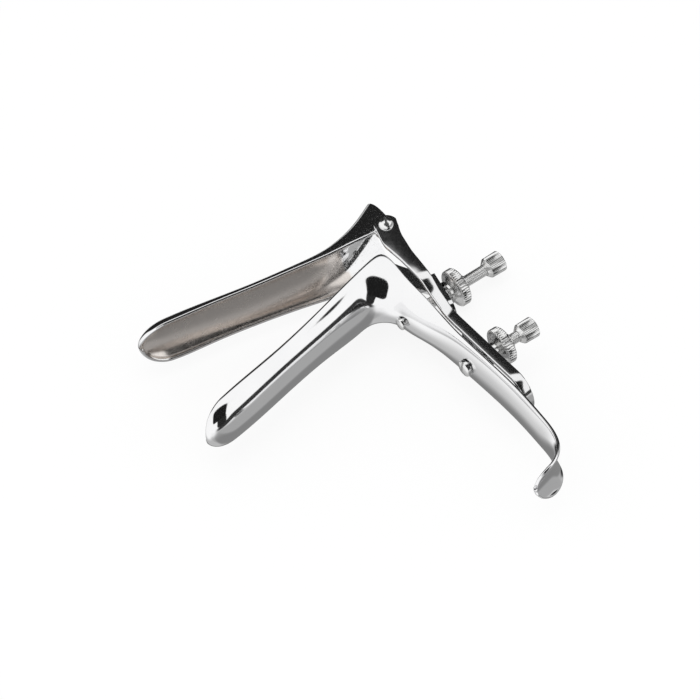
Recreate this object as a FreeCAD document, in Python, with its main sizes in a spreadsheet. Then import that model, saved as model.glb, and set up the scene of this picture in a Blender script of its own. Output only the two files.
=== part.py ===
import FreeCAD, Part

# Bivalve speculum: two pressed steel blades on a yoke frame, with two screws.
#
# The blades point along -X, the handle runs down along -Y, and the hinge axis is
# X = Y = 0.  The instrument lies on its far side, so +Z is the near side.  Every
# piece is drawn about the mid-plane and then lifted by mid_height.

import math
import os

import Sketcher
from FreeCAD import Placement, Rotation, Vector

doc = FreeCAD.newDocument("bivalve_speculum")
sheet = doc.addObject("Spreadsheet::Sheet", "sizes")

SIZES = {
    # pressed blades
    "lower_wall": 1.6,
    "upper_wall": 1.5,
    "blade_half": 11.7,
    "lower_depth": 9.4,
    "upper_depth": 7.4,
    "lower_reach": 116.0,
    "upper_reach": 107.0,
    "tip_length": 16.0,
    "tip_droop": 2.7,
    "flare_half": 14.6,
    "handle_half": 10.0,
    "handle_depth": 2.7,
    "handle_end": 133.0,
    "lip_reach": 31.0,
    # hinge
    "ear_radius": 5.0,
    "ear_outer": 15.3,
    "ear_thick": 2.0,
    "side_gap": 0.2,
    "pivot_radius": 1.6,
    "pivot_head_radius": 3.0,
    "pivot_head_high": 2.5,
    "pivot_slot": 0.9,
    "pivot_inner": 11.2,
    "run_gap": 0.05,
    # yoke frame
    "arm_thick": 2.0,
    "arm_drop": 25.0,
    "tail_start": 48.0,
    "tail_half": 10.0,
    "tail_end": 102.0,
    "tail_front": 8.1,
    "tail_back": 3.6,
    "web_thick": 1.8,
    "web_top": 56.0,
    "lug_inner": 7.0,
    "lug_front": 5.0,
    "lug_thick": 2.0,
    "lug_half": 5.5,
    # opening screw and lever
    "rod_radius": 2.4,
    "rod_drop": 23.5,
    "rod_side": 11.5,
    "rod_head_radius": 3.0,
    "rod_head_high": 2.0,
    "opening_neck": 0.4,
    "lever_lean": 12.0,
    "lever_offset": 12.4,
    "lever_thick": 2.0,
    "lever_half": 5.0,
    "lever_top": 13.0,
    "lever_bottom": 34.0,
    "slot_side_gap": 0.4,
    "lever_gap": 0.25,
    "washer_radius": 4.8,
    "washer_thick": 1.0,
    "seat_gap": 0.05,
    # knurled nuts and caps
    "disc_radius": 8.0,
    "disc_thick": 4.0,
    "neck_radius": 3.6,
    "cone_radius": 6.2,
    "cone_length": 1.6,
    "sleeve_length": 1.8,
    "sleeve_radius": 4.0,
    "cap_length": 8.2,
    "cap_radius": 3.5,
    "cap_flare": 4.4,
    "cap_bore": 4.0,
    # height screw
    "stud_drop": 69.5,
    "stud_head_radius": 3.6,
    "stud_head_high": 2.4,
    "stud_slot": 1.0,
    "stud_seat": 13.4,
    "height_travel": 20.0,
    "height_neck": 3.2,
    "height_loosen": 4.0,
    # rivet of the handle
    "rivet_drop": 33.5,
    "rivet_radius": 1.7,
    "rivet_head_radius": 2.7,
    "rivet_head_high": 1.8,
    "rivet_seat": 18.8,
    "rivet_long": 3.2,
}

for row, (alias, value) in enumerate(SIZES.items(), start=1):
    sheet.set(f"A{row}", alias)
    sheet.set(f"B{row}", str(value))
    sheet.setAlias(f"B{row}", alias)

# sizes that follow from the driving ones
DERIVED = {
    "arm_inner": "=ear_outer + side_gap",
    "arm_outer": "=arm_inner + arm_thick",
    "mid_height": "=arm_outer + pivot_head_high",
    "pivot_bore": "=pivot_radius + run_gap",
    "nut_bore": "=rod_radius + run_gap",
    "rod_x_rest": "=(lever_offset - rod_drop * sin(lever_lean * 1deg)) / cos(lever_lean * 1deg)",
    "plate_back_x": "=rod_x_rest + lever_thick / 2 / cos(lever_lean * 1deg)",
    "opening_seat": "=plate_back_x + washer_radius * tan(lever_lean * 1deg) + lever_gap",
    "opening_nut_x": "=opening_seat + washer_thick + seat_gap",
    "height_seat": "=seat_gap - tail_back",
    "height_nut_x": "=height_seat + washer_thick + seat_gap",
    "nut_length": "=cone_length + disc_thick + sleeve_length",
    "opening_travel": "=2 * rod_drop * tan(lever_lean * 1deg)",
    "opening_cap_start": "=opening_nut_x + opening_neck + nut_length + opening_travel + lever_gap",
    "height_cap_start": "=height_nut_x + height_neck + nut_length + height_loosen + seat_gap",
}
first = len(SIZES) + 1
for row, (alias, formula) in enumerate(DERIVED.items(), start=first):
    sheet.set(f"A{row}", alias)
    sheet.set(f"B{row}", formula)
    sheet.setAlias(f"B{row}", alias)
doc.recompute()


def size(alias):
    """The value of one named size as a plain number of millimetres."""
    return float(getattr(sheet, alias))


LIFT = Vector(0, 0, size("mid_height"))


# Pressed sheet pieces: a C-shaped section that changes along a crest line

def station(crest, rim, half, wrap):
    """One section: its crest and rim in the side view, half width and wrap angle."""
    return (Vector(crest[0], crest[1], 0), Vector(rim[0], rim[1], half), wrap)


def section_point(crest, rim, wrap, across):
    """Point of a section, where across runs from -1 at one rim to 1 at the other."""
    limit = math.radians(wrap)
    angle = limit * across
    share = (1 - math.cos(angle)) / (1 - math.cos(limit))
    x = crest.x + (rim.x - crest.x) * share
    y = crest.y + (rim.y - crest.y) * share
    return Vector(x, y, rim.z * math.sin(angle) / math.sin(limit))


def grid_normal(grid, i, j):
    """Unit normal of a grid of points, from its neighbours."""
    before, after = grid[max(i - 1, 0)][j], grid[min(i + 1, len(grid) - 1)][j]
    left, right = grid[i][max(j - 1, 0)], grid[i][min(j + 1, len(grid[0]) - 1)]
    return (after - before).cross(right - left).normalize()


def surface_through(grid):
    surface = Part.BSplineSurface()
    surface.interpolate(grid)
    return surface


def pressed_sheet(stations, wall, along, across):
    """Solid of even wall: outer skin through the sections, inner skin offset from it."""
    joint = [s[0] * 2 + s[1] for s in stations]
    curve = Part.BSplineCurve()
    curve.interpolate(joint)
    marks = [curve.parameter(p) for p in joint]
    crests, rims = Part.BSplineCurve(), Part.BSplineCurve()
    crests.interpolate(Points=[s[0] for s in stations], Parameters=marks)
    rims.interpolate(Points=[s[1] for s in stations], Parameters=marks)
    outer = []
    for i in range(along):
        place = (len(marks) - 1) * i / (along - 1)
        low = min(int(place), len(marks) - 2)
        share = place - low
        mark = marks[low] + (marks[low + 1] - marks[low]) * share
        wrap = stations[low][2] + (stations[low + 1][2] - stations[low][2]) * share
        crest, rim = crests.value(mark), rims.value(mark)
        outer.append([section_point(crest, rim, wrap, 2 * j / (across - 1) - 1) for j in range(across)])
    middle_row, middle = along // 2, across // 2
    inward = outer[middle_row][0] - outer[middle_row][middle]
    inward.z = 0
    sign = 1 if grid_normal(outer, middle_row, middle).dot(inward) > 0 else -1
    inner = [[outer[i][j] + grid_normal(outer, i, j) * (sign * wall) for j in range(across)]
             for i in range(along)]
    skins = [surface_through(outer), surface_through(inner)]
    faces = [skin.toShape() for skin in skins]
    bounds = [skin.bounds() for skin in skins]
    for side in (0, 1):
        edges = [skin.uIso(limit[side]).toShape() for skin, limit in zip(skins, bounds)]
        faces.append(Part.makeRuledSurface(edges[0], edges[1]))
    for side in (2, 3):
        edges = [skin.vIso(limit[side]).toShape() for skin, limit in zip(skins, bounds)]
        faces.append(Part.makeRuledSurface(edges[0], edges[1]))
    shell = Part.Shell(faces)
    shell.sewShape()
    solid = Part.Solid(shell)
    if solid.Volume < 0:
        solid.reverse()
    return solid


def spoon_tip(reach, rim_at, depth, half, droop):
    """Stations of a blade's rounded end, an ellipse in plan and in depth."""
    stations = []
    steps = 7
    for i in range(steps, -1, -1):
        angle = math.radians(86) * i / steps
        x = -reach + size("tip_length") * (1 - math.sin(angle))
        rim_y = rim_at(x) + droop * (1 - math.cos(angle))
        crest_y = rim_y + depth * math.cos(angle)
        stations.append(station((x, crest_y), (x, rim_y), half * math.cos(angle), 90))
    return stations


def feature(name, shape, turn=Rotation()):
    """A document object that holds a ready shape, turned about the hinge and lifted."""
    item = doc.addObject("Part::Feature", name)
    item.Shape = shape
    item.Placement = Placement(LIFT, turn)
    return item


def slot_cutter(x_low, x_high, y_low, y_high, radius, z=0.0):
    """A round-ended cutter along X, its centres from y_low to y_high."""
    depth = x_high - x_low
    ends = [Part.makeCylinder(radius, depth, Vector(x_low, y, z), Vector(1, 0, 0)) for y in (y_low, y_high)]
    box = Part.makeBox(depth, y_high - y_low, 2 * radius, Vector(x_low, y_low, z - radius))
    return ends[0].fuse([ends[1], box])


def lower_blade():
    """Lower blade, wings, handle and finger lip, pressed from one sheet."""
    reach, depth, half = size("lower_reach"), size("lower_depth"), size("blade_half")
    flare, grip, bow = size("flare_half"), size("handle_half"), size("handle_depth")
    end, lip = size("handle_end"), size("lip_reach")
    slope, rim_root = 0.183, -8.0

    def rim_at(x):
        return rim_root + slope * x

    stations = spoon_tip(reach, rim_at, -depth, half, -size("tip_droop"))
    stations += [
        station((-72, rim_at(-72) - depth + 0.7), (-72, rim_at(-72)), half, 90),
        station((-48, -25.2), (-46, -15.7), half + 0.5, 90),
        station((-33, -22.9), (-27, -11.6), half + 1.7, 88),
        station((-25, -23.6), (-15, -8.8), flare - 0.3, 85),
        station((-20.4, -28.0), (-9.5, -9.4), flare, 80),
        station((-17.9, -35.5), (-9.1, -22), flare - 0.6, 75),
        station((-15.7, -46), (-9.2, -38), grip + 2.2, 68),
        station((-13.9, -58), (-10.1, -55), grip + 0.6, 62),
        station((-13, -72), (-13 + bow, -72), grip, 60),
        station((-13, -100), (-13 + bow, -100), grip, 60),
        station((-14.3, -end + 11), (-14.3 + bow, -end + 12), grip, 60),
        station((-16.3, -end), (-14.2, -end - 2.2), grip - 0.2, 60),
        station((-19.3, -end - 5.3), (-17.8, -end - 7.6), grip - 0.5, 60),
    ]
    steps = 6
    for i in range(steps + 1):
        angle = math.radians(84) * i / steps
        x = -lip + 8 * (1 - math.sin(angle))
        y = -end - 8.2 - 1.5 * math.sin(angle)
        drop = bow * math.cos(angle)
        stations.append(station((x, y), (x + 0.2, y - drop), (grip - 0.8) * math.cos(angle), 60))
    blank = pressed_sheet(stations, size("lower_wall"), 3 * len(stations), 13)
    holes = [Part.makeCylinder(size(radius), 20, Vector(-25, -size(drop), 0), Vector(1, 0, 0))
             for radius, drop in (("nut_bore", "stud_drop"), ("rivet_radius", "rivet_drop"))]
    return feature("lower_blade", blank.cut(holes))


def upper_blade():
    """Upper blade in its open pose, with a flat ear on each side of its mouth."""
    reach, depth, half = size("upper_reach"), size("upper_depth"), size("blade_half")
    outer, thick = size("ear_outer"), size("ear_thick")

    def rim_at(x):
        return 0.4 - 0.2 * x

    stations = spoon_tip(reach, rim_at, depth, half, 3.0)
    stations += [
        station((-77, 22.7), (-77, rim_at(-77)), half, 90),
        station((-57, 17.8), (-57, rim_at(-57)), half, 90),
        station((-37, 14.1), (-38, rim_at(-38)), half + 0.8, 90),
        station((-24, 13.4), (-24, 4.9), outer - 1.7, 90),
        station((-13, 15.4), (-13, 2.4), outer - 0.3, 90),
        station((-3, 18.4), (-3.5, 1.0), outer - 0.05, 90),
        station((6.8, 22.0), (3.4, 1.4), outer - 0.05, 90),
    ]
    blank = pressed_sheet(stations, size("upper_wall"), 3 * len(stations), 15)
    solids = [blank]
    for side in (-1, 1):
        low = min(side * outer, side * (outer - thick))
        solids.append(Part.makeCylinder(size("ear_radius"), thick, Vector(0, 0, low)))
    body = solids[0].fuse(solids[1:])
    bore = Part.makeCylinder(size("pivot_bore"), 60, Vector(0, 0, -30))
    return feature("upper_blade", body.cut(bore))


def thumb_lever():
    """Lever from the far ear down to a slotted plate that the opening rod crosses."""
    thick, half, offset = size("lever_thick"), size("lever_half"), size("lever_offset")
    top, bottom = size("lever_top"), size("lever_bottom")
    outer_face = -(size("ear_outer") - size("ear_thick"))
    ear = Part.makeCylinder(size("ear_radius") - 0.5, thick, Vector(0, 0, outer_face))
    front, back = offset - thick / 2, offset + thick / 2
    outline = [(3.2, 3.0), (back, -top + 3), (back, -top - 7), (front, -top - 7), (-3.2, -3.0)]
    corners = [Vector(x, y, outer_face) for x, y in outline]
    strap = Part.Face(Part.makePolygon(corners + corners[:1])).extrude(Vector(0, 0, thick))
    side = -size("rod_side")
    plate = Part.makeBox(thick, bottom - half - top, 2 * half, Vector(front, -bottom + half, side - half))
    toe = Part.makeCylinder(half, thick, Vector(front, -bottom + half, side), Vector(1, 0, 0))
    body = ear.fuse([strap, plate, toe])
    lean = math.radians(size("lever_lean"))
    drop = size("rod_drop")
    reach = [drop / math.cos(a) + offset * math.tan(a) for a in (-lean, lean)]
    ease = size("rod_radius") * (1 / math.cos(lean) - 1) + thick / 2 * math.tan(lean)
    radius = size("rod_radius") + size("slot_side_gap")
    slot = slot_cutter(front - 1, back + 1, -max(reach) - ease, -min(reach) + ease, radius, side)
    bore = Part.makeCylinder(size("pivot_bore"), 60, Vector(0, 0, -30))
    body = body.cut([slot, bore]).removeSplitter()
    return feature("thumb_lever", body, Rotation(Vector(0, 0, 1), -size("lever_lean")))


def wishbone(offset, top):
    """Outline of the frame seen along X, drawn inwards by offset, as a face at X = 0."""
    arm, tail = size("arm_outer") - offset, size("tail_half") - offset
    drop, start = -size("arm_drop"), -size("tail_start")
    centre = -size("tail_end") + size("tail_half")
    points = [(top, arm), (drop, arm), (start, tail), (centre, tail)]
    right = [Vector(0, y, z) for y, z in points]
    left = [Vector(0, y, -z) for y, z in reversed(points)]
    foot = Vector(0, centre - tail, 0)
    edges = list(Part.makePolygon(right).Edges)
    edges.append(Part.Arc(right[-1], foot, left[0]).toShape())
    edges += Part.makePolygon(left + right[:1]).Edges
    return Part.Face(Part.Wire(edges))


def yoke_frame():
    """Two arms that carry the hinge and run together into a tray behind the handle."""
    front, back, radius = size("tail_front"), size("tail_back"), size("ear_radius")
    start, end = -size("tail_start"), -size("tail_end")
    outline = [(-7.4, -8), (-6.9, -18), (-7.2, -36), (-front, start - 5), (-front, end),
               (-back, end), (-back, start - 4), (-2.6, -36), (-0.6, -18), (1.6, -8),
               (radius, 0), (0, radius), (-radius, 0)]
    corners = [Vector(x, y, -30) for x, y in outline]
    side_view = Part.Face(Part.makePolygon(corners + corners[:1])).extrude(Vector(0, 0, 60))
    side_view = side_view.fuse(Part.makeCylinder(radius, 60, Vector(0, 0, -30)))
    width = Vector(40, 0, 0)
    shift = Vector(-20, 0, 0)
    outer = wishbone(0, radius + 1).extrude(width)
    inner = wishbone(size("arm_thick"), radius + 10).extrude(width)
    outer.translate(shift)
    inner.translate(shift)
    walls = outer.cut(inner).common(side_view)
    web_span = Part.makeBox(size("web_thick"), size("tail_end") - size("web_top"), 60,
                            Vector(-back - size("web_thick"), end, -30))
    web = outer.common(web_span)
    lug_half, drop, inset = size("lug_half"), size("rod_drop"), size("lug_inner")
    lug = Part.makeBox(size("lug_thick"), 2 * lug_half, size("arm_outer") - inset,
                       Vector(-size("lug_front"), -drop - lug_half, -size("arm_outer")))
    frame = walls.fuse([web, lug]).removeSplitter()
    holes = [Part.makeCylinder(size("pivot_bore"), 60, Vector(0, 0, -30)),
             Part.makeCylinder(size("nut_bore"), 20, Vector(-12, -drop, -size("rod_side")), Vector(1, 0, 0)),
             slot_cutter(-8, 2, -size("stud_drop") - size("height_travel"), -size("stud_drop"),
                         size("rod_radius") + size("slot_side_gap"))]
    return feature("yoke_frame", frame.cut(holes))


# Turned pieces: a sketched half profile, revolved about the screw's axis

def turned(name, profile, axis_y, axis_z, driver_slot=None):
    """A body revolved about X from (place, radius) pairs, each a formula on the sheet."""
    body = doc.addObject("PartDesign::Body", name)
    sketch = body.newObject("Sketcher::SketchObject", name + "_profile")
    plane = [f for f in body.Origin.OriginFeatures if f.Role == "XY_Plane"][0]
    sketch.AttachmentSupport = [(plane, "")]
    sketch.MapMode = "FlatFace"
    values = [(evaluate(x), evaluate(r)) for x, r in profile]
    count = len(values)
    for i in range(count):
        start, stop = values[i], values[(i + 1) % count]
        sketch.addGeometry(Part.LineSegment(Vector(*start, 0), Vector(*stop, 0)))
    for i in range(count):
        sketch.addConstraint(Sketcher.Constraint("Coincident", i, 2, (i + 1) % count, 1))
    for i, ((x_formula, r_formula), (x, r)) in enumerate(zip(profile, values)):
        index = sketch.addConstraint(Sketcher.Constraint("DistanceX", -1, 1, i, 1, x))
        sketch.setExpression(f"Constraints[{index}]", bound(x_formula))
        if r == 0:
            sketch.addConstraint(Sketcher.Constraint("PointOnObject", i, 1, -1))
            continue
        index = sketch.addConstraint(Sketcher.Constraint("DistanceY", -1, 1, i, 1, r))
        sketch.setExpression(f"Constraints[{index}]", bound(r_formula))
    turn = body.newObject("PartDesign::Revolution", name + "_turned")
    turn.Profile = sketch
    turn.ReferenceAxis = (sketch, ["H_Axis"])
    turn.Angle = 360
    body.Tip = turn
    if driver_slot:
        cut_driver_slot(body, name, driver_slot)
    body.setExpression("Placement.Base.y", bound(axis_y))
    body.setExpression("Placement.Base.z", bound(axis_z))
    return body


def cut_driver_slot(body, name, driver_slot):
    """A screwdriver slot across the head: where it starts, how deep, how wide."""
    face_x, depth, width = [evaluate(item) for item in driver_slot]
    sketch = body.newObject("Sketcher::SketchObject", name + "_slot_sketch")
    plane = [f for f in body.Origin.OriginFeatures if f.Role == "XY_Plane"][0]
    sketch.AttachmentSupport = [(plane, "")]
    sketch.MapMode = "FlatFace"
    corners = [(face_x - 1, -width / 2), (face_x + depth, -width / 2),
               (face_x + depth, width / 2), (face_x - 1, width / 2)]
    for i in range(4):
        start, stop = corners[i], corners[(i + 1) % 4]
        sketch.addGeometry(Part.LineSegment(Vector(*start, 0), Vector(*stop, 0)))
    for i in range(4):
        sketch.addConstraint(Sketcher.Constraint("Coincident", i, 2, (i + 1) % 4, 1))
    pocket = body.newObject("PartDesign::Pocket", name + "_driver_slot")
    pocket.Profile = sketch
    pocket.Type = 1
    pocket.Midplane = True
    body.Tip = pocket


def evaluate(formula):
    """Value of a formula on the sheet's aliases, such as height_seat + washer_thick."""
    total = 0.0
    sign = 1
    for token in str(formula).split():
        if token in ("+", "-"):
            sign = 1 if token == "+" else -1
            continue
        value = size(token) if token[0].isalpha() else float(token)
        total += sign * value
        sign = 1
    return total


def bound(formula):
    """The same formula as an expression that names the sheet."""
    words = [f"sizes.{w}" if w[0].isalpha() else w for w in str(formula).split()]
    return " ".join(words)


def knurled_nut(name, start, neck, axis_y, axis_z):
    """Nut with a neck, a cone and a knurled disc."""
    cone = f"{start} + {neck}"
    disc = f"{cone} + cone_length"
    sleeve = f"{disc} + disc_thick"
    end = f"{sleeve} + sleeve_length"
    profile = [(start, "nut_bore"), (start, "neck_radius"), (cone, "neck_radius"), (disc, "cone_radius"),
               (disc, "disc_radius"), (sleeve, "disc_radius"), (sleeve, "sleeve_radius"),
               (end, "sleeve_radius"), (end, "nut_bore")]
    return turned(name, profile, axis_y, axis_z)


def washer(name, start, axis_y, axis_z):
    end = f"{start} + washer_thick"
    profile = [(start, "nut_bore"), (start, "washer_radius"), (end, "washer_radius"), (end, "nut_bore")]
    return turned(name, profile, axis_y, axis_z)


def end_cap(name, start, axis_y, axis_z):
    """Flared cap closed over the end of a screw, so that its nut can't run off."""
    floor = f"{start} + cap_bore"
    end = f"{start} + cap_length"
    profile = [(start, "nut_bore"), (start, "cap_radius"), (end, "cap_flare"), (end, "0"),
               (floor, "0"), (floor, "nut_bore")]
    return turned(name, profile, axis_y, axis_z)


def headed_screw(name, head_face, head_high, head_radius, shank_end, shank, axis_y, axis_z, slot=None):
    """Screw along +X whose head starts at head_face."""
    under = f"{head_face} + {head_high}"
    profile = [(head_face, "0"), (head_face, head_radius), (under, head_radius), (under, shank),
               (shank_end, shank), (shank_end, "0")]
    return turned(name, profile, axis_y, axis_z, slot)


def pivot_screw(name, side):
    """Screw along Z through an arm and an ear; the near one is slotted, the far one is plain."""
    face, high = size("arm_outer"), size("pivot_head_high")
    head = Part.makeCylinder(size("pivot_head_radius"), high, Vector(0, 0, face))
    rim = [e for e in head.Edges if abs(e.BoundBox.ZMin - face - high) < 1e-6 and e.Length > 10]
    head = head.makeFillet(0.5, rim)
    inner = size("pivot_inner")
    shank = Part.makeCylinder(size("pivot_radius"), face - inner, Vector(0, 0, inner))
    width = size("pivot_slot")
    slot = Part.makeBox(20, width, 2, Vector(-10, -width / 2, face + high - 1))
    screw = head.fuse(shank).removeSplitter()
    if side > 0:
        return feature(name, screw.cut(slot))
    return feature(name, screw, Rotation(Vector(1, 0, 0), 180))


lower = lower_blade()
upper = upper_blade()
lever = thumb_lever()
yoke = yoke_frame()
nodes = [lower, upper, lever, yoke]
nodes.append(pivot_screw("near_pivot_screw", 1))
nodes.append(pivot_screw("far_pivot_screw", -1))

rod_y, rod_z = "0 - rod_drop", "mid_height - rod_side"
stud_y, stud_z = "0 - stud_drop", "mid_height"

nodes.append(headed_screw("opening_rod", "0 - lug_front - rod_head_high", "rod_head_high",
                          "rod_head_radius", "opening_cap_start + cap_bore - run_gap", "rod_radius",
                          rod_y, rod_z))
nodes.append(washer("opening_washer", "opening_seat", rod_y, rod_z))
nodes.append(knurled_nut("opening_nut", "opening_nut_x", "opening_neck", rod_y, rod_z))
nodes.append(end_cap("opening_cap", "opening_cap_start", rod_y, rod_z))

nodes.append(headed_screw("height_stud", "0 - stud_seat - stud_head_high", "stud_head_high",
                          "stud_head_radius", "height_cap_start + cap_bore - run_gap", "rod_radius",
                          stud_y, stud_z, ("0 - stud_seat - stud_head_high", "stud_slot", "stud_slot")))
nodes.append(washer("height_washer", "height_seat", stud_y, stud_z))
nodes.append(knurled_nut("height_nut", "height_nut_x", "height_neck", stud_y, stud_z))
nodes.append(end_cap("height_cap", "height_cap_start", stud_y, stud_z))

nodes.append(headed_screw("handle_rivet", "0 - rivet_seat - rivet_head_high", "rivet_head_high",
                          "rivet_head_radius", "0 - rivet_seat + rivet_long", "rivet_radius", "0 - rivet_drop", "mid_height"))

doc.recompute()

for item in doc.Objects:
    if {"Invalid", "Error"} & set(item.State):
        raise RuntimeError(f"{item.Label} failed: {item.State}")

os.makedirs("parts", exist_ok=True)
for node in nodes:
    shape = node.Shape
    if shape.isNull() or not shape.isValid():
        raise RuntimeError(f"{node.Label} has no valid shape")
    shape.exportStep(os.path.join("parts", node.Label + ".step"))
    box = shape.BoundBox
    print(f"{node.Label:18s} {len(shape.Solids)} solid {shape.Volume:9.1f} mm3 "
          f"x {box.XMin:7.1f} {box.XMax:6.1f} y {box.YMin:7.1f} {box.YMax:6.1f} "
          f"z {box.ZMin:6.2f} {box.ZMax:6.2f}")
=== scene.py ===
import math

import bmesh
import bpy
import numpy as np
from mathutils import Matrix, Vector


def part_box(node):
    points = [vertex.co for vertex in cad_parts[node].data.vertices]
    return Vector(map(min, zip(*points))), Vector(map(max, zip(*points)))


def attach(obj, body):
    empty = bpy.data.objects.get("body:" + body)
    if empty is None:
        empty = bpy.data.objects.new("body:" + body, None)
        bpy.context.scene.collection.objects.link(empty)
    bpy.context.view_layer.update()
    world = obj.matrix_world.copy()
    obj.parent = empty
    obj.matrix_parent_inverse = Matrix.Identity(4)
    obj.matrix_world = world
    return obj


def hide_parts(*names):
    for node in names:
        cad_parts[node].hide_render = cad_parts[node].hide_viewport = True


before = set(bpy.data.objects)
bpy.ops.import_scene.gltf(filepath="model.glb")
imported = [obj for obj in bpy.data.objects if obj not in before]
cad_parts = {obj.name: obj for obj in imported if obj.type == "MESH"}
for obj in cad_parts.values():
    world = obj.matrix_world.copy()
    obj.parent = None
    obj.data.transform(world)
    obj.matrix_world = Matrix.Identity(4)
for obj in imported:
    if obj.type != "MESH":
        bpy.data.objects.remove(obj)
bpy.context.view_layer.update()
mm = 0.001
midHeight = 0.020  # the instrument's mid-plane stands this far above the floor
print("frame loaded,", len(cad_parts), "pieces")


# steel for every piece

class Value:
    # wraps a socket, so that an expression on it adds its Math nodes
    def __init__(self, graph, socket):
        self.graph, self.socket = graph, socket

    def maths(self, operation, first, second):
        return self.graph.node("ShaderNodeMath", {"operation": operation}, [first, second])

    def __add__(self, other):
        return self.maths("ADD", self, other)

    def __mul__(self, other):
        return self.maths("MULTIPLY", self, other)

    def __rsub__(self, other):
        return self.maths("SUBTRACT", other, self)

    def __gt__(self, other):
        return self.maths("GREATER_THAN", self, other)

    def orMore(self, other):
        return self.maths("MAXIMUM", self, other)

    def sibling(self, name):
        # another output of the same node
        return Value(self.graph, self.socket.node.outputs[name])

    __radd__ = __add__
    __rmul__ = __mul__


class Graph:
    def __init__(self, owner, shader="Principled BSDF"):
        owner.use_nodes = True
        self.tree = owner.node_tree
        self.shader = self.tree.nodes[shader]

    def node(self, kind, settings, inputs, output=0):
        # one node: its settings first, then a value or a link for each socket
        made = self.tree.nodes.new(kind)
        for key, value in settings.items():
            if key == "stops":
                setStops(made.color_ramp, value)
            else:
                setattr(made, key, value)
        pairs = inputs.items() if isinstance(inputs, dict) else enumerate(inputs)
        for key, value in pairs:
            self.feed(made.inputs[key], value)
        return Value(self, made.outputs[output])

    def feed(self, socket, value):
        if isinstance(value, Value):
            self.tree.links.new(value.socket, socket)
        else:
            socket.default_value = value


def setStops(ramp, stops):
    while len(ramp.elements) > 1:
        ramp.elements.remove(ramp.elements[-1])
    for i, (place, shade) in enumerate(stops):
        element = ramp.elements[0] if i == 0 else ramp.elements.new(place)
        element.position = place
        element.color = (shade, shade, shade, 1)


# what the steels share: each noise is scale, detail and distortion; places and depths in metres
finish = {
    "cloud": (60.0, 4.0, 0.0), "smear": (180.0, 6.0, 1.5),
    "hair": (900.0, 3.0, 0.0), "fine": (1500.0, 2.0, 0.0),
    "smearShare": 1.2, "bumpStrength": 0.2, "bumpDepth": 0.00002,
    "insideShadeTone": (0.80, 0.75, 0.71, 1), "insideRough": 0.06, "insideSmear": 0.2,  # painted shade: the channels' inner face gets a darker brownish colour, and a rougher gloss
    "speckFade": 0.08, "speckRough": 0.2, "speckDeep": 0.3,
    "rootFromX": -0.042, "rootFromY": 0.001, "specksElsewhere": 0.04,  # most are on the upper root
}

looks = {
    "blade_steel": {"name": "bladeSteel", "bright": (0.94, 0.94, 0.94, 1), "dark": (0.86, 0.86, 0.87, 1),
                    "rough": 0.05, "hairline": 0.4, "grain": (0.05, 1, 1), "speckFrom": 0.56},
    "frame_steel": {"name": "frameSteel", "bright": (0.88, 0.88, 0.88, 1), "dark": (0.78, 0.78, 0.79, 1),
                    "rough": 0.07, "hairline": 0.5, "grain": (1, 0.05, 1), "speckFrom": 0.66},
    "screw_steel": {"name": "screwSteel", "bright": (0.92, 0.92, 0.91, 1), "dark": (0.82, 0.82, 0.82, 1),
                    "rough": 0.12, "hairline": 0.5, "grain": (1, 1, 1), "speckFrom": 0.66},
}


def polishedSteel(look):
    # mirror steel: cloudy tone, faint smears in the gloss, polishing lines along the grain, specks, and
    # painted shade with a rougher gloss inside the channels
    f, rough, hairline, speckFrom = finish, look["rough"], look["hairline"], look["speckFrom"]
    material = bpy.data.materials.new(look["name"])
    g = Graph(material)

    def noise(kind, vector):
        scale, detail, distortion = f[kind]
        inputs = {"Vector": vector, "Scale": scale, "Detail": detail, "Distortion": distortion}
        return g.node("ShaderNodeTexNoise", {}, inputs)

    def mixed(factor, first, second):
        return g.node("ShaderNodeMix", {"data_type": "RGBA"}, {"Factor": factor, 6: first, 7: second}, 2)

    coords = g.node("ShaderNodeTexCoord", {}, {}, "Object")
    lines = g.node("ShaderNodeMapping", {}, {"Vector": coords, "Scale": look["grain"]})
    cloud, smear, hair, fine = (noise(*pair) for pair in (("cloud", coords), ("smear", coords),
                                                          ("hair", lines), ("fine", coords)))
    inside = g.node("ShaderNodeAttribute", {"attribute_name": "inside"}, {}, 2)
    along = g.node("ShaderNodeSeparateXYZ", {}, [coords])
    root = (along > f["rootFromX"]) * (along.sibling("Y") > f["rootFromY"])
    stops = [(speckFrom, 0.0), (speckFrom + f["speckFade"], 1.0)]
    specks = g.node("ShaderNodeValToRGB", {"stops": stops}, [fine])
    specks = specks * (1 - inside) * (f["specksElsewhere"] + root)
    tone = mixed(cloud, look["bright"], look["dark"])
    # the inner face of a channel is mixed towards a darker brownish colour: painted shade of the concave
    # inside
    g.feed(g.shader.inputs["Base Color"], mixed(inside, tone, f["insideShadeTone"]))
    dull = inside * (f["insideRough"] + f["insideSmear"] * smear)
    g.feed(g.shader.inputs["Roughness"],
           rough + smear * (rough * f["smearShare"]) + specks * f["speckRough"] + dull)
    height = hair * hairline + specks * (hairline * f["speckDeep"])
    bump = g.node("ShaderNodeBump", {}, {"Height": height, "Strength": f["bumpStrength"],
                                         "Distance": f["bumpDepth"]})
    g.feed(g.shader.inputs["Normal"], bump)
    g.shader.inputs["Metallic"].default_value = 1.0
    return material


steels = {slot: polishedSteel(look) for slot, look in looks.items()}
print("steels made")


# meshes from arrays

mergeWithin = 2e-6  # metres
leastEdge = 1e-7


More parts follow.
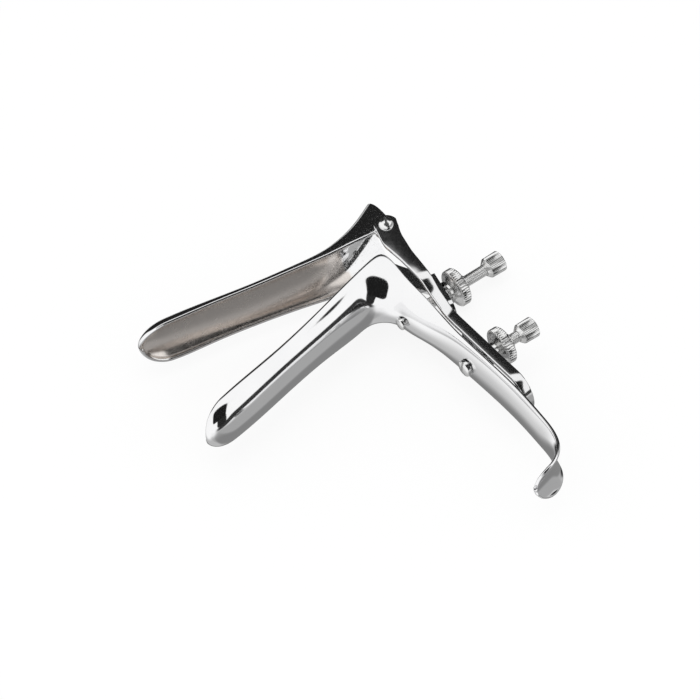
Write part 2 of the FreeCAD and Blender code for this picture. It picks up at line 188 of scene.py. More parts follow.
def makePiece(name, points, faces, inside=None):
    # points in millimetres about the mid-plane become metres in the shared frame
    mesh = bpy.data.meshes.new(name)
    mesh.from_pydata((np.asarray(points) * mm + [0, 0, midHeight]).tolist(), [], faces)
    if inside is not None:
        mesh.attributes.new("inside", "FLOAT", "POINT").data.foreach_set("value", inside.ravel())
    piece = bpy.data.objects.new(name, mesh)
    bpy.context.collection.objects.link(piece)
    work = bmesh.new()
    work.from_mesh(mesh)
    bmesh.ops.remove_doubles(work, verts=work.verts, dist=mergeWithin)
    bmesh.ops.dissolve_degenerate(work, edges=work.edges, dist=leastEdge)
    bmesh.ops.recalc_face_normals(work, faces=work.faces)
    work.to_mesh(mesh)
    work.free()
    return piece


def meshFromGrid(name, grid, ends="fan", inside=None):
    # rows x columns x 3: each row is a loop round the piece, and rows follow its length;
    # a fan is one face across an end, and a strip closes an end of a folded loop by joining
    # its two halves point to point
    rows, columns = grid.shape[:2]
    i, j = np.meshgrid(np.arange(rows - 1), np.arange(columns), indexing="ij")
    after = (j + 1) % columns
    corners = [i * columns + j, i * columns + after, (i + 1) * columns + after, (i + 1) * columns + j]
    faces = np.stack(corners, axis=-1).reshape(-1, 4).tolist()
    last = (rows - 1) * columns
    if ends == "fan":
        faces += [list(range(columns))[::-1], list(range(last, last + columns))]
    if ends == "strip":
        k = np.arange(columns // 2 - 1)
        strip = np.stack([k, k + 1, columns - 2 - k, columns - 1 - k], axis=-1)
        faces += strip[:, ::-1].tolist() + (strip + last).tolist()
    return makePiece(name, grid.reshape(-1, 3), faces, inside)


def finishPiece(piece, body, slot, replaced=None, crease=35):
    # smooth shading with a crease at sharp edges, the steel, and the body that it rides on
    mesh = piece.data
    mesh.polygons.foreach_set("use_smooth", np.ones(len(mesh.polygons), dtype=bool))
    work = bmesh.new()
    work.from_mesh(mesh)
    limit = math.radians(crease)
    for edge in work.edges:
        edge.smooth = len(edge.link_faces) == 2 and edge.calc_face_angle(0) < limit
    work.to_mesh(mesh)
    work.free()
    mesh.materials.append(steels[slot])
    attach(piece, body)
    if replaced:
        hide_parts(replaced)


def splineThrough(points, marks, at):
    # natural cubic spline: bend at each mark solves the equations of equal slope on both sides
    points = np.asarray(points, float)
    gaps = np.diff(marks)
    count = len(marks)
    matrix = np.eye(count)
    right = np.zeros((count, points.shape[1]))
    k = np.arange(1, count - 1)
    matrix[k, k - 1] = gaps[k - 1]
    matrix[k, k] = 2 * (gaps[k - 1] + gaps[k])
    matrix[k, k + 1] = gaps[k]
    slopes = np.diff(points, axis=0) / gaps[:, None]
    right[1:-1] = 6 * (slopes[1:] - slopes[:-1])
    bend = np.linalg.solve(matrix, right)
    low = np.clip(np.searchsorted(marks, at, side="right") - 1, 0, count - 2)
    span = gaps[low][:, None]
    a = (marks[low + 1] - at)[:, None] / span
    b = 1 - a
    curved = (a ** 3 - a) * bend[low] + (b ** 3 - b) * bend[low + 1]
    return a * points[low] + b * points[low + 1] + curved * span ** 2 / 6


sheet = {
    "rowsPerStation": 9, "across": 44, "rimSteps": 6,
    "taperFrom": 1.5, "thinnest": 0.12, "insetMost": 0.35,  # the wall thins where the sheet is narrow
    "channelEnd": -14.0, "channelLow": -45.0,  # the channels' painted shade and rougher gloss lie this side of them
    "leastReach": 0.001, "weakNormal": 1e-7,  # a shorter normal is taken from the row beside it
}
nudge = 0.001  # small step of the angle's share, to measure slopes
tiny = 1e-12  # keeps a division from meeting zero


def pressedSheet(name, stations, wall):
    # outer skin: z = half * sin(a) / sin(wrap), depth share = (1 - cos a) / (1 - cos wrap);
    # the inner skin is the outer one moved inwards by the wall, and half circles round the rims
    s = sheet
    crest, rim, half, wrap = (np.array(part, float) for part in zip(*stations))
    stepLength = np.linalg.norm(np.diff(crest * 2 + rim, axis=0), axis=1)
    marks = np.concatenate([[0], np.cumsum(stepLength)])
    count = len(stations)
    place = np.linspace(0, count - 1, (count - 1) * s["rowsPerStation"] + 1)
    at = np.interp(place, np.arange(count), marks)
    smooth = splineThrough(np.column_stack([crest, rim, half]), marks, at)
    crests, rims, halves = smooth[:, 0:2], smooth[:, 2:4], np.maximum(smooth[:, 4], 0)
    wraps = np.interp(at, marks, np.radians(wrap))

    def skin(across):
        angle = wraps[:, None] * across
        share = (1 - np.cos(angle)) / (1 - np.cos(wraps))[:, None]
        side = halves[:, None] * np.sin(angle) / np.sin(wraps)[:, None]
        flat = crests[:, None, :] + (rims - crests)[:, None, :] * share[..., None]
        return np.concatenate([flat, side[..., None]], axis=2)

    reach = np.maximum(halves + np.linalg.norm(rims - crests, axis=1), s["leastReach"])
    wall = wall * np.clip(halves / (s["taperFrom"] * wall), s["thinnest"], 1)[:, None, None]
    inset = np.clip(wall[:, 0] / 2 / reach[:, None], 0, s["insetMost"])
    fan = np.linspace(-1, 1, s["across"])[None, :] * (1 - inset)
    outer = skin(fan)
    normal = np.cross(np.gradient(outer, axis=0), skin(fan + nudge) - skin(fan - nudge))
    length = np.linalg.norm(normal, axis=2, keepdims=True)
    normal = normal / np.maximum(length, tiny)
    for end, beside in ((0, 1), (-1, -2)):
        weak = length[end, :, 0] < s["weakNormal"]
        normal[end, weak] = normal[beside, weak]
    row, middle = len(outer) // 2, s["across"] // 2
    inwards = (outer[row, 0] - outer[row, middle]) * [1, 1, 0]
    if normal[row, middle] @ inwards < 0:
        normal = -normal
    inner = outer + normal * wall

    def roundRim(column, sign):
        centre = (outer[:, column] + inner[:, column]) / 2
        radius = (outer[:, column] - inner[:, column]) / 2
        side = skin(fan[:, [column]] + nudge * sign)[:, 0] - outer[:, column]
        side -= normal[:, column] * np.sum(side * normal[:, column], axis=1, keepdims=True)
        side /= np.maximum(np.linalg.norm(side, axis=1, keepdims=True), tiny)
        turn = np.linspace(0, math.pi, s["rimSteps"] + 2)[1:-1][None, :, None]
        return centre[:, None] + radius[:, None] * np.cos(turn) + side[:, None] * wall / 2 * np.sin(turn)

    far, near = roundRim(-1, 1), roundRim(0, -1)[:, ::-1]
    fold = s["rimSteps"] // 2  # the loop starts half way round the near rim
    grid = np.concatenate([near[:, fold:], outer, far, inner[:, ::-1], near[:, :fold]], axis=1)
    # the inner face of the channels, which gets painted shade and a rougher gloss
    inside = np.zeros(grid.shape[:2])
    first = near.shape[1] - fold + outer.shape[1] + far.shape[1]
    inside[:, first + 1:first + outer.shape[1] - 1] = 1
    inside[(grid[..., 0] > s["channelEnd"]) | (grid[..., 1] < s["channelLow"])] = 0
    return meshFromGrid(name, grid, "strip", inside)


def turned(name, profile, axisY, axisZ, around, knurl=0, ends="fan", order=(0, 1, 2)):
    # surface of revolution about X: y = r cos a, z = r sin a; the third number of a profile
    # point is how deep the knurl cuts there, as a triangle wave in the angle
    x, r = np.array([p[0] for p in profile], float), np.array([p[1] for p in profile], float)
    deep = np.array([p[2] if len(p) > 2 else 0 for p in profile], float)
    angle = np.linspace(0, 2 * math.pi, around, endpoint=False)
    wave = np.abs((angle * knurl / (2 * math.pi)) % 1 * 2 - 1) * (knurl > 0)
    radius = r[:, None] - deep[:, None] * wave
    grid = np.stack([x[:, None] + 0 * radius, axisY + radius * np.cos(angle),
                     axisZ + radius * np.sin(angle)], axis=2)
    return meshFromGrid(name, grid[..., order], ends)


# the two pressed blades

blade = {
    "half": 11.7, "tipLength": 13.5, "tipAngles": [88, 83, 76, 66, 54, 41, 27, 13, 0],
    "lowerWall": 1.6, "lowerReach": 116.0, "lowerDepth": 9.4, "lowerDroop": -2.7,
    "upperWall": 1.5, "upperReach": 107.0, "upperDepth": 7.4, "upperDroop": 3.0,
    "lowerRim": (-8.0, 0.183), "upperRim": (0.4, -0.2),  # straight rims: y at x = 0, and slope
    "earOuter": 15.3, "earThick": 2.0, "earRadius": 5.0, "earEdge": 0.35, "earAround": 64, "edgeRows": 5,
    "flareHalf": 14.6, "gripHalf": 10.0, "gripBow": 2.7, "gripEnd": 129.0, "gripWrap": 60,
    "lipReach": 33.0, "lipLength": 10.0, "lipBelow": 8.2, "lipFall": 3.0,
    "lipAngles": [0, 14, 28, 42, 56, 68, 79, 87],
}


def straightRim(start, slope):
    return lambda x: start + slope * x


def spoonTip(reach, rimAt, depth, droop):
    # rounded end: x follows the sine, half width and depth follow the cosine of one angle
    tip = []
    for angle in np.radians(blade["tipAngles"]):
        x = -reach + blade["tipLength"] * (1 - math.sin(angle))
        y = rimAt(x) + droop * (1 - math.cos(angle))
        tip.append(((x, y + depth * math.cos(angle)), (x, y), blade["half"] * math.cos(angle), 90))
    return tip


def makeLowerBlade():
    # stations of the sheet: crest (x, y), rim (x, y), half width and wrap angle
    b = blade
    half, flare, grip, bow, end = b["half"], b["flareHalf"], b["gripHalf"], b["gripBow"], b["gripEnd"]
    wrap = b["gripWrap"]
    rimAt = straightRim(*b["lowerRim"])
    stations = spoonTip(b["lowerReach"], rimAt, -b["lowerDepth"], b["lowerDroop"])
    stations += [
        ((-72, rimAt(-72) - b["lowerDepth"] + 0.7), (-72, rimAt(-72)), half, 90),
        ((-48, -25.2), (-46, -15.7), half + 0.8, 90),
        ((-33, -22.9), (-27, -11.6), half + 2.4, 88),
        ((-25, -23.6), (-15, -8.8), flare - 0.3, 85),
        ((-20.4, -28.0), (-9.5, -9.4), flare, 80),
        ((-17.9, -35.5), (-9.1, -22), flare - 0.6, 75),
        ((-15.7, -46), (-9.2, -38), grip + 2.2, 68),
        ((-13.9, -58), (-10.1, -55), grip + 0.6, 62),
        ((-13, -72), (-13 + bow, -72), grip, wrap),
        ((-13, -100), (-13 + bow, -100), grip, wrap),
        ((-14.3, 11 - end), (-14.3 + bow, 12 - end), grip, wrap),
        ((-16.3, -end), (-14.2, -end - 2.2), grip - 0.2, wrap),
        ((-19.3, -end - 5.3), (-17.8, -end - 7.6), grip - 0.5, wrap),
    ]
    for angle in np.radians(b["lipAngles"]):
        x = -b["lipReach"] + b["lipLength"] * (1 - math.sin(angle))
        y = -end - b["lipBelow"] - b["lipFall"] * math.sin(angle)
        drop = bow * math.cos(angle) ** 2
        stations.append(((x, y), (x + 0.2, y - drop), (grip - 0.8) * math.cos(angle), wrap))
    finishPiece(pressedSheet("lowerBlade", stations, b["lowerWall"]), "base", "blade_steel", "lower_blade")


def roundedDisc(name, radius, thick, faceZ, towards, edge):
    # disc about Z from its outer face, with edges rounded by quarter circles
    turn = np.linspace(0, math.pi / 2, blade["edgeRows"])
    r = radius - edge + edge * np.concatenate([np.sin(turn), np.cos(turn)])
    z = np.concatenate([edge - edge * np.cos(turn), thick - edge + edge * np.sin(turn)])
    angle = np.linspace(0, 2 * math.pi, blade["earAround"], endpoint=False)
    grid = np.stack([r[:, None] * np.cos(angle), r[:, None] * np.sin(angle),
                     (faceZ + towards * z)[:, None] + 0 * angle], axis=2)
    return meshFromGrid(name, grid)


def makeUpperBlade():
    b = blade
    half, outer = b["half"], b["earOuter"]
    rimAt = straightRim(*b["upperRim"])
    stations = spoonTip(b["upperReach"], rimAt, b["upperDepth"], b["upperDroop"])
    stations += [
        ((-77, 22.9), (-77, rimAt(-77) + 0.5), half, 90),
        ((-57, 18.1), (-57, rimAt(-57) + 0.6), half, 90),
        ((-37, 14.5), (-38, rimAt(-38) + 0.3), half + 0.8, 90),
        ((-24, 13.4), (-24, 4.9), outer - 1.7, 90),
        ((-13, 15.4), (-13, 2.4), outer - 0.3, 90),
        ((-3, 19.2), (-3.5, 1.0), outer - 0.05, 90),
        ((6.4, 23.8), (3.4, 1.4), outer - 0.05, 90),
    ]
    finishPiece(pressedSheet("upperBlade", stations, b["upperWall"]), "upper", "blade_steel", "upper_blade")
    for label, side in (("Near", 1), ("Far", -1)):
        name = "upperEar" + label
        ear = roundedDisc(name, b["earRadius"], b["earThick"], side * outer, -side, b["earEdge"])
        finishPiece(ear, "upper", "blade_steel")


makeLowerBlade()
makeUpperBlade()
print("blades made")


# the yoke frame: a rounded bar carried along the wishbone, a slotted web and a lug

yoke = {
    "armMiddle": 16.5, "tailMiddle": 9.0, "thick": 2.0, "runIn": [(25, 0), (32, 0.04), (37, 0.46), (48, 1)],
    "footCentre": 92.0, "earRadius": 5.0, "tailBack": 3.6, "corner": 0.5, "cornerMost": 0.9,
    "front": [(-200, -8.1), (-53, -8.1), (-36, -7.2), (-18, -6.9), (-8, -7.4), (0, -5)],
    "back": [(-200, -3.6), (-52, -3.6), (-36, -2.6), (-18, -0.6), (-8, 1.6), (0, 5)],
    "earTopGap": 0.02, "armTop": -0.6, "earRows": 16, "armRows": 110, "footRows": 29, "softenRows": 5,
    "cornerPoints": 5,
    "webThick": 1.8, "webTop": 56.0, "webIntoArm": 0.3, "webInset": 0.05, "webFootRows": 33,
    "slotTop": 69.5, "slotBottom": 89.5, "slotRadius": 2.8, "slotEndRows": 17,
    "lugLow": (-5.0, -29.0, -16.6), "lugHigh": (-3.0, -18.0, -7.0), "lugEdge": 0.5,
}


def makeYokeBar():
    # path in the YZ plane: arm, run-in, tail, half circle round the foot, and back up; the
    # section is a rounded rectangle between front(y) and back(y), and a disc about the hinge
    y = yoke
    soften = np.ones(y["softenRows"]) / y["softenRows"]
    margin = y["softenRows"] // 2
    top = (y["earRadius"] - y["earTopGap"]) * np.cos(np.linspace(0, math.pi / 2, y["earRows"]))
    down = np.concatenate([top, np.linspace(y["armTop"], -y["footCentre"], y["armRows"])])
    share = np.interp(-down, *zip(*y["runIn"]))
    share[margin:-margin] = np.convolve(share, soften, "valid")
    nearZ = y["armMiddle"] + (y["tailMiddle"] - y["armMiddle"]) * share
    foot = np.linspace(0, math.pi, y["footRows"])[1:-1]
    pathY = np.concatenate([down, -y["footCentre"] - y["tailMiddle"] * np.sin(foot), down[::-1]])
    pathZ = np.concatenate([nearZ, y["tailMiddle"] * np.cos(foot), -nearZ[::-1]])
    front, back = np.interp(pathY, *zip(*y["front"])), np.interp(pathY, *zip(*y["back"]))
    disc = np.sqrt(np.maximum(y["earRadius"] ** 2 - pathY ** 2, 0))
    front, back = np.where(pathY > 0, -disc, front), np.where(pathY > 0, disc, back)
    below = np.arange(y["earRows"] + margin, len(pathY) - y["earRows"] - margin)
    front[below], back[below] = (np.convolve(edge, soften, "same")[below] for edge in (front, back))
    tangent = np.column_stack([np.gradient(pathY), np.gradient(pathZ)])
    tangent /= np.linalg.norm(tangent, axis=1, keepdims=True)
    normal = np.column_stack([-tangent[:, 1], tangent[:, 0]])
    turn = np.linspace(0, math.pi / 2, y["cornerPoints"])
    quarter = np.column_stack([np.cos(turn), np.sin(turn)])
    # each corner is a quarter circle, flipped along X and along the path's normal
    flips = [(1, 1, 1), (-1, 1, -1), (-1, -1, 1), (1, -1, -1)]
    ring = np.concatenate([np.column_stack([quarter[::order] * [sx, sn], np.full(quarter.shape, [sx, sn])])
                           for sx, sn, order in flips])
    middle, halfWide = (front + back) / 2, (back - front) / 2
    radius = np.minimum(y["corner"], halfWide * y["cornerMost"])
    sectionX = middle[:, None] + ring[:, 2] * (halfWide - radius)[:, None] + ring[:, 0] * radius[:, None]
    sectionN = ring[:, 3] * (y["thick"] / 2 - radius)[:, None] + ring[:, 1] * radius[:, None]
    grid = np.stack([sectionX, pathY[:, None] + normal[:, [0]] * sectionN,
                     pathZ[:, None] + normal[:, [1]] * sectionN], axis=2)
    finishPiece(meshFromGrid("yokeBar", grid), "yoke", "frame_steel", "yoke_frame")


def makeYokeWeb():
    # plate across the tail with a half-round foot and a long slot that the stud slides in
    y = yoke
    reach, r = y["tailMiddle"] + y["webIntoArm"], y["slotRadius"]
    a, b = np.linspace(0, math.pi, y["webFootRows"]), np.linspace(0, math.pi, y["slotEndRows"])
    foot = np.column_stack([-y["footCentre"] - reach * np.sin(a), reach * np.cos(a)])
    outline = np.concatenate([[[-y["webTop"], reach]], foot, [[-y["webTop"], -reach]]])
    slot = np.concatenate([np.column_stack([-y["slotBottom"] - r * np.sin(b), r * np.cos(b)]),
                           np.column_stack([-y["slotTop"] + r * np.sin(b), -r * np.cos(b)])])
    work = bmesh.new()
    edges = []
    for loop in (outline, slot):
        verts = [work.verts.new((0, *point)) for point in loop]
        edges += [work.edges.new(pair) for pair in zip(verts, verts[1:] + verts[:1])]
    bmesh.ops.triangle_fill(work, edges=edges, use_beauty=True)
    work.verts.index_update()
    flat = np.array([v.co for v in work.verts])
    count = len(flat)
    faces = [[v.index for v in face.verts] for face in work.faces]
    rim = [[v.index for v in edge.verts] for edge in work.edges if len(edge.link_faces) == 1]
    work.free()
    under = flat + [-y["tailBack"] - y["webThick"], 0, 0]
    over = flat + [-y["tailBack"] - y["webInset"], 0, 0]
    faces += [[v + count for v in face] for face in faces]
    faces += [[p, q, q + count, p + count] for p, q in rim]
    finishPiece(makePiece("yokeWeb", np.concatenate([under, over]), faces), "yoke", "frame_steel")


def makeLug():
    # box whose edges a bevel rounds
    low, high = yoke["lugLow"], yoke["lugHigh"]
    corners = [(x, y, z) for x in (low[0], high[0]) for y in (low[1], high[1]) for z in (low[2], high[2])]
    faces = [[0, 1, 3, 2], [4, 6, 7, 5], [0, 4, 5, 1], [2, 3, 7, 6], [0, 2, 6, 4], [1, 5, 7, 3]]
    lug = makePiece("rodLug", corners, faces)
    bevel = lug.modifiers.new("edges", "BEVEL")
    bevel.width, bevel.segments = yoke["lugEdge"] * mm, 3
    finishPiece(lug, "yoke", "frame_steel", crease=100)


makeYokeBar()
makeYokeWeb()
makeLug()
print("yoke frame made")


# screws, nuts and caps; the ends of nuts, caps and rods along X are read from the frame's nodes

screw = {
    "rodRadius": 2.4, "boreGap": 0.05, "threadDepth": 0.28, "lead": 1.5, "starts": 2,
    "rowsPerThread": 6, "rodAround": 48, "rodShort": 0.5, "openingThread": -5.0, "heightThread": -13.4,
    "discRadius": 8.0, "discThick": 4.0, "discTeeth": 44, "discDeep": 0.45, "coneLong": 1.6,
    "neckRadius": 3.6, "coneRadius": 6.4, "hubRadius": 4.0, "openingNeck": 0.4, "heightNeck": 3.2,
    "capTeeth": 40, "capDeep": 0.3, "knurlFade": 0.4, "pointsPerTooth": 6, "headAround": 64,
    "armFace": 17.5, "pivotHigh": 2.5, "pivotRadius": 3.1, "pivotShank": 1.6, "pivotInner": 11.2,
    "pivotRows": 14, "pivotSlot": (9, 1.0, 2.6), "pivotSlotTurn": 65,
    "domeShare": 0.45, "domeRows": 8, "headEdge": 0.15, "slotDeep": 2.0, "slotWide": 1.0,
    "openingAxis": (-23.5, -11.5), "heightAxis": (-69.5, 0.0), "rivetAxis": (-33.5, 0.0),
}
nearAxis = 0.01  # radius of the last ring of a closed end


def endsAlongX(node):
    low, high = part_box(node)
    return low.x / mm, high.x / mm


def makeNut(node, body, neckLong, axis):
    # knurled disc between a cone with a neck in front and a low hub behind
    s = screw
    start, end = endsAlongX(node)
    bore, cone = s["rodRadius"] + s["boreGap"], start + neckLong
    neck, wide, hub = s["neckRadius"], s["coneRadius"], s["hubRadius"]
    disc, deep, rim = cone + s["coneLong"], s["discDeep"], s["discRadius"]
    back, fade = disc + s["discThick"], deep * s["knurlFade"]
    profile = [(start, bore), (start, neck - 0.2), (start + 0.15, neck), (cone, neck),
               (disc - 0.1, wide - 0.3), (disc, wide), (disc, rim - 0.7), (disc + 0.12, rim - 0.45, fade),
               (disc + 0.5, rim, deep), (back - 0.5, rim, deep), (back - 0.12, rim - 0.45, fade),
               (back, rim - 0.7), (back, hub + 0.6), (back + 0.25, hub + 0.1), (end - 0.3, hub),
               (end, hub - 0.3), (end, bore), (start, bore)]
    around = s["discTeeth"] * s["pointsPerTooth"]
    nut = turned(node + "Knurled", profile, *axis, around, s["discTeeth"], None)
    finishPiece(nut, body, "screw_steel", node)


def makeCap(node, body, axis):
    # knurled end that widens a little towards its outer face
    s = screw
    start, end = endsAlongX(node)
    deep, around = s["capDeep"], s["capTeeth"] * s["pointsPerTooth"]
    profile = [(start + 0.6, 2.3), (start, 2.5), (start, 2.8), (start + 1.3, 4.0),
               (start + 1.6, 4.25, deep), (end - 0.4, 4.38, deep),
               (end - 0.15, 4.25, deep * s["knurlFade"]), (end, 3.95), (end, nearAxis)]
    cap = turned(node + "Knurled", profile, *axis, around, s["capTeeth"])
    finishPiece(cap, body, "screw_steel", node)


def makeRod(node, body, axis, threadFrom):
    # two-start thread: r = radius - depth * triangle wave of (starts * x / lead - starts * turn)
    s = screw
    rowStep = s["lead"] / s["starts"] / s["rowsPerThread"]
    x = np.arange(threadFrom, endsAlongX(node)[1] - s["rodShort"], rowStep)
    angle = np.linspace(0, 2 * math.pi, s["rodAround"], endpoint=False)
    phase = (s["starts"] * (x[:, None] / s["lead"] - angle / (2 * math.pi))) % 1
    r = s["rodRadius"] - s["threadDepth"] * np.abs(phase * 2 - 1)
    grid = np.stack([x[:, None] + 0 * r, axis[0] + r * np.cos(angle), axis[1] + r * np.sin(angle)], axis=2)
    finishPiece(meshFromGrid(node + "Thread", grid), body, "screw_steel", node)


def makePivotScrew(name, body, side):
    # round head outside an arm, side * z = face + high * sin a and r = radius * cos a, and a shank
    s = screw
    face, high, radius, inner = s["armFace"], s["pivotHigh"], s["pivotRadius"], s["pivotInner"]
    shank = s["pivotShank"]
    turn = np.linspace(math.pi / 2, 0, s["pivotRows"])
    profile = [(side * (face + high * math.sin(a)), max(radius * math.cos(a), nearAxis)) for a in turn]
    profile += [(side * face, shank), (side * inner, shank), (side * inner, nearAxis)]
    head = turned(name + "Round", profile, 0, 0, s["headAround"], order=(2, 1, 0))
    if side > 0:
        cutSlot(head, (0, 0, face + high), s["pivotSlot"], s["pivotSlotTurn"], "Z")
    finishPiece(head, body, "screw_steel", name)


# heads that face -X: the outer face, the head's height and radius, the shank's radius and end
heads = {
    "openingRodHead": {"body": "yoke", "axis": screw["openingAxis"], "faceX": -7.0, "high": 2.0,
                       "radius": 3.0, "shank": 2.3, "shankEnd": -4.5},
    "heightStudHead": {"body": "base", "axis": screw["heightAxis"], "faceX": -15.8, "high": 2.4,
                       "radius": 3.6, "shank": 2.3, "shankEnd": -13.0, "slotTurn": 90},
    "handleRivetHead": {"body": "base", "axis": screw["rivetAxis"], "faceX": -20.6, "high": 1.8,
                        "radius": 2.7, "shank": 1.7, "shankEnd": -15.6, "replaced": "handle_rivet"},
}


def makeHead(name):
    # low dome, then a plain shank; a driver slot is cut across the dome where the head has one
    s, h = screw, heads[name]
    front, radius, shank, edge = h["faceX"], h["radius"], h["shank"], s["headEdge"]
    back, dome = front + h["high"], h["high"] * s["domeShare"]
    turn = np.linspace(math.pi / 2, 0, s["domeRows"])
    profile = [(front + dome * (1 - math.sin(a)), max(radius * math.cos(a), nearAxis)) for a in turn]
    profile += [(back - edge, radius), (back, radius - edge), (back, shank), (h["shankEnd"], shank),
                (h["shankEnd"], nearAxis)]
    head = turned(name, profile, *h["axis"], s["headAround"])
    if "slotTurn" in h:
        cutSlot(head, (front, *h["axis"]), (s["slotDeep"], 3 * radius, s["slotWide"]), h["slotTurn"], "X")
    finishPiece(head, h["body"], "screw_steel", h.get("replaced"))


def cutSlot(piece, centre, size, degrees, axis):
    bpy.ops.mesh.primitive_cube_add(size=1)
    cutter = bpy.context.object
    place = Matrix.Translation(Vector(centre) * mm + Vector((0, 0, midHeight)))
    scale = Matrix.Diagonal((*(Vector(size) * mm), 1))
    cutter.data.transform(place @ Matrix.Rotation(math.radians(degrees), 4, axis) @ scale)
    modifier = piece.modifiers.new("slot", "BOOLEAN")
    modifier.operation, modifier.object, modifier.solver = "DIFFERENCE", cutter, "EXACT"
    bpy.context.view_layer.objects.active = piece
    bpy.ops.object.modifier_apply(modifier=modifier.name)
    bpy.data.objects.remove(cutter)


def dressNodes():
    # CAD nodes whose shape is right keep it and get the steel
    for node, slot in (("thumb_lever", "frame_steel"), ("opening_washer", "screw_steel"),
                       ("height_washer", "screw_steel")):
        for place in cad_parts[node].material_slots:
            place.material = steels[slot]


makeNut("opening_nut", "opening_knob", screw["openingNeck"], screw["openingAxis"])
makeNut("height_nut", "height_knob", screw["heightNeck"], screw["heightAxis"])
makeCap("opening_cap", "yoke", screw["openingAxis"])
makeCap("height_cap", "base", screw["heightAxis"])
makeRod("opening_rod", "yoke", screw["openingAxis"], screw["openingThread"])
makeHead("openingRodHead")
makeRod("height_stud", "base", screw["heightAxis"], screw["heightThread"])
makeHead("heightStudHead")
makeHead("handleRivetHead")
makePivotScrew("near_pivot_screw", "yoke", 1)
makePivotScrew("far_pivot_screw", "yoke", -1)
dressNodes()
print("screws made")


# floor, world, camera and lamp

studio = {
    "towards": (-0.36009, -0.56915, 0.73919), "up": (0.48487, 0.56274, 0.66949),
    "pixelsPerMm": 2.5, "hingePixel": (389.2, 253.1), "frame": 700, "distance": 2.5, "seesTo": 20,
    "floorSize": 12, "floorDrop": 0.0002, "floorTone": 0.92, "floorRough": 0.9, "floorWhite": 0.86,
    "worldLevel": 0.95, "roomWhite": 1.03,
    "lampPlace": (-0.15, -0.2, 1.2), "lampWidth": 0.8, "lampPower": 3,
}

# what polished steel reflects: azimuth, elevation, half width, half height in degrees, softness, tone
roomPatches = {
    "floorBelow": (0, -90, 50, 50, 0.9, 0.52),
    "floorBehind": (57.7, -52, 40, 20, 0.9, 0.22),
    "floorInFront": (305, -38, 60, 33, 0.6, 0.40),
    "floorNear": (330, -62, 60, 17, 0.9, 0.24),
    "darkLine": (305, 7, 55, 8, 0.5, 0.035),
    "darkPanel": (268, 32, 18, 21, 0.2, 0.02),
    "darkWall": (57.7, 14, 52, 41, 0.25, 0.014),
    "darkCorner": (250, 62, 32, 24, 0.12, 0.01),
}


def makeFloor():
    # the camera sees it most of the way to white, and the rest keeps the object's shadow
    bpy.ops.mesh.primitive_plane_add(size=studio["floorSize"], location=(0, 0, -studio["floorDrop"]))
    floor = bpy.context.object
    floor.name = "floor"
    material = bpy.data.materials.new("paleFloor")
    g = Graph(material)
    tone = studio["floorTone"]
    g.shader.inputs["Base Color"].default_value = (tone, tone, tone, 1)
    g.shader.inputs["Roughness"].default_value = studio["floorRough"]
    g.shader.inputs["Specular IOR Level"].default_value = 0.0
    plain = Value(g, g.shader.outputs["BSDF"])
    white = g.node("ShaderNodeEmission", {}, {"Color": (1, 1, 1, 1), "Strength": 1.0})
    seen = g.node("ShaderNodeLightPath", {}, {}, "Is Camera Ray")
    mixed = g.node("ShaderNodeMixShader", {}, [seen * studio["floorWhite"], plain, white])
    g.feed(g.tree.nodes["Material Output"].inputs["Surface"], mixed)
    floor.data.materials.append(material)
    floor.visible_glossy = False


def roomPatch(g, direction, level, azimuth, elevation, wide, high, soft, tone):
    # rounded rectangle about one direction: (aside / wide) ** 4 + (rise / high) ** 4 under 1
    a, e = math.radians(azimuth), math.radians(elevation)
    axes = [(math.cos(e) * math.cos(a), math.cos(e) * math.sin(a), math.sin(e)),
            (-math.sin(a), math.cos(a), 0),
            (-math.sin(e) * math.cos(a), -math.sin(e) * math.sin(a), math.cos(e))]
    ahead, aside, rise = (g.node("ShaderNodeVectorMath", {"operation": "DOT_PRODUCT"}, [direction, axis], 1)
                          for axis in axes)
    aside, rise = aside * (1 / math.sin(math.radians(wide))), rise * (1 / math.sin(math.radians(high)))
    aside, rise = aside * aside, rise * rise
    reach = aside * aside + rise * rise
    edge = {"Value": reach, "From Min": 1 - soft, "From Max": 1 + soft, "To Min": 1.0, "To Max": 0.0}
    mask = g.node("ShaderNodeMapRange", {"interpolation_type": "SMOOTHSTEP"}, edge)
    mask = mask * (ahead > 0.0)
    return level * (1 - mask) + mask * tone


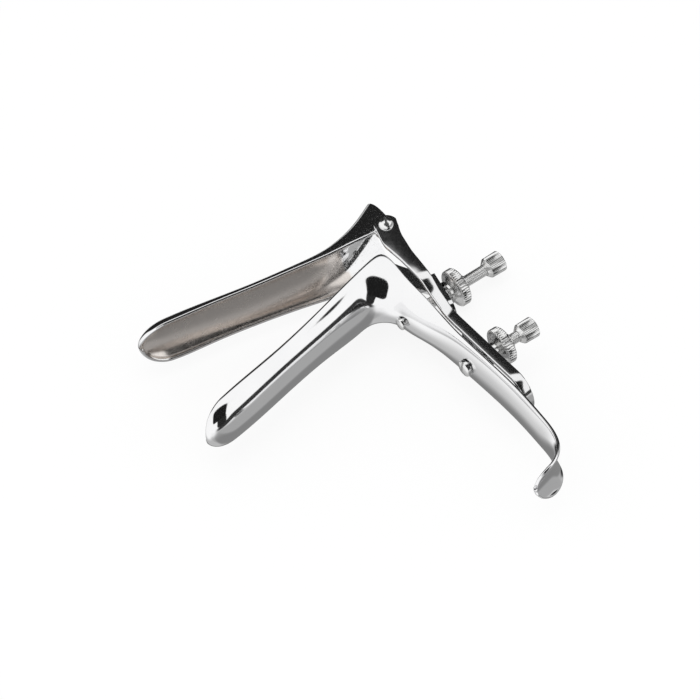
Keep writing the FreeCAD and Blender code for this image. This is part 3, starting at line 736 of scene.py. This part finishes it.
def makeWorld():
    # the camera sees white, steel sees a white room with dark parts, and the rest is plain light
    world = bpy.data.worlds.new("studio")
    bpy.context.scene.world = world
    g = Graph(world, "Background")
    seen = g.node("ShaderNodeLightPath", {}, {}, "Is Camera Ray")
    mirror = seen.sibling("Is Glossy Ray").orMore(seen.sibling("Is Transmission Ray"))
    direction = g.node("ShaderNodeTexCoord", {}, {}, "Generated")
    room = studio["roomWhite"]
    for patch in roomPatches.values():
        room = roomPatch(g, direction, room, *patch)
    plain = seen + (1 - seen) * studio["worldLevel"]
    g.feed(g.shader.inputs["Strength"], plain * (1 - mirror) + mirror * room)
    g.feed(g.shader.inputs["Color"], (1, 1, 1, 1))


def makeCamera():
    # orthographic, placed so that the hinge falls on its pixel of the photograph
    towards, up = Vector(studio["towards"]).normalized(), Vector(studio["up"])
    up = (up - towards * up.dot(towards)).normalized()
    right = up.cross(towards)
    perMm, middle, distance = studio["pixelsPerMm"], studio["frame"] / 2, studio["distance"]
    across, down = ((middle - pixel) / perMm * mm for pixel in studio["hingePixel"])
    aim = Vector((0, 0, midHeight)) + right * across - up * down
    camera = bpy.data.objects.new("camera", bpy.data.cameras.new("camera"))
    bpy.context.collection.objects.link(camera)
    camera.data.type = "ORTHO"
    camera.data.ortho_scale = studio["frame"] / perMm * mm
    camera.data.clip_end = studio["seesTo"]
    turn = Matrix((right, up, towards)).transposed().to_4x4()
    camera.matrix_world = Matrix.Translation(aim + towards * distance) @ turn
    bpy.context.scene.camera = camera


def makeLamp():
    # one soft square lamp that faces the object; steel doesn't reflect it
    name = "overheadSoftbox"
    lamp = bpy.data.objects.new(name, bpy.data.lights.new(name, "AREA"))
    bpy.context.collection.objects.link(lamp)
    lamp.location = studio["lampPlace"]
    lamp.data.shape, lamp.data.size, lamp.data.energy = "SQUARE", studio["lampWidth"], studio["lampPower"]
    lamp.rotation_euler = Vector(studio["lampPlace"]).to_track_quat("Z", "Y").to_euler()
    lamp.visible_glossy = False


makeFloor()
makeWorld()
makeCamera()
makeLamp()
bpy.context.scene.view_settings.view_transform = "Standard"
print("studio made")
